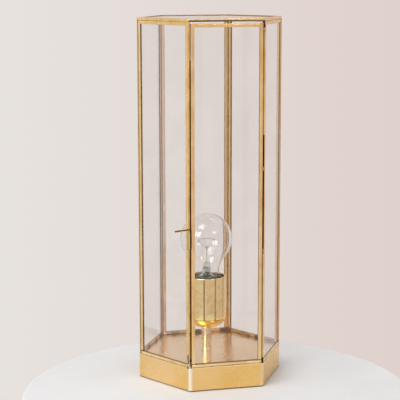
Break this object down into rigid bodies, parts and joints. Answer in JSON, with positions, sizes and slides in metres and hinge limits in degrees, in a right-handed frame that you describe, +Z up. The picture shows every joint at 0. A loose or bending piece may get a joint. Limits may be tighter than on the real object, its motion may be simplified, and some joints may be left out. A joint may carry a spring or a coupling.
{
  "type": "lantern table lamp",
  "caption": "Hexagonal glazed brass lantern on a plain base, with a hinged glass door, a turning wire latch and a screw-in bulb in a brass cup.",
  "frame": {"origin": "middle of the base's underside, on the tabletop", "axes": "+Z up, +Y towards the side with the cable inlet, so the door faces -Y; +X to the door's hinge side"},
  "size_m": [0.172, 0.1601, 0.42],
  "materials": {
    "satin_brass": "satin, lightly brushed",
    "polished_brass": "polished",
    "came_brass": "satin, lightly aged",
    "aged_brass": "aged, solder marks",
    "clear_glass": "clear",
    "bulb_glass": "clear",
    "bakelite": "moulded, semi-gloss",
    "ceramic": "glazed",
    "steel": "plain",
    "tungsten": "dull",
    "nickel": "bright",
    "black_glass": "glossy",
    "rubber": "matte",
    "felt": "felted"
  },
  "bodies": {
    "lantern": {"felt_pad": "felt", "bottom_cover": "satin_brass", "cover_screws": "steel", "cover_pillars": "satin_brass", "base_wall": "satin_brass", "floor_plate": "polished_brass", "cable_grommet": "rubber", "frame_front_left": "came_brass", "glass_front_left": "clear_glass", "frame_back_left": "came_brass", "glass_back_left": "clear_glass", "frame_back": "came_brass", "glass_back": "clear_glass", "frame_back_right": "came_brass", "glass_back_right": "clear_glass", "frame_front_right": "came_brass", "glass_front_right": "clear_glass", "corner_solder": "aged_brass", "top_frame": "came_brass", "top_glass": "clear_glass", "door_stop": "came_brass", "hinge_pin": "aged_brass", "hinge_knuckles": "came_brass", "latch_tube": "came_brass", "lamp_post": "polished_brass", "threaded_tube": "steel", "post_washer": "steel", "post_nut": "steel", "holder_cup": "polished_brass", "holder_foot": "bakelite", "holder_sleeve": "bakelite", "contact_carrier": "ceramic", "terminal_screws": "steel", "screw_shell": "nickel", "contact_tongue": "polished_brass"},
    "door": {"door_frame": "came_brass", "door_glass": "clear_glass", "hinge_barrel_lower": "came_brass", "hinge_barrel_upper": "came_brass"},
    "latch": {"latch_hook": "aged_brass"},
    "bulb": {"bulb_glass": "bulb_glass", "bulb_cap": "nickel", "cap_insulator": "black_glass", "foot_contact": "nickel", "glass_stem": "bulb_glass", "lead_wires": "nickel", "support_wires": "tungsten", "filament": "tungsten"}
  },
  "joints": [
    {"name": "door_hinge", "type": "hinge", "parent": "lantern", "child": "door", "pos_m": [0.04265, -0.0738, 0.028], "axis": [0, 0, 1], "range_deg": [0, 120]},
    {"name": "latch_turn", "type": "hinge", "parent": "lantern", "child": "latch", "pos_m": [-0.04402, -0.07625, 0.166], "axis": [0, 0, 1], "range_deg": [-72, 153]},
    {"name": "bulb_lift", "type": "slide", "parent": "lantern", "child": "bulb", "axis": [0, 0, 1], "range_m": [0, 0.04]}
  ]
}
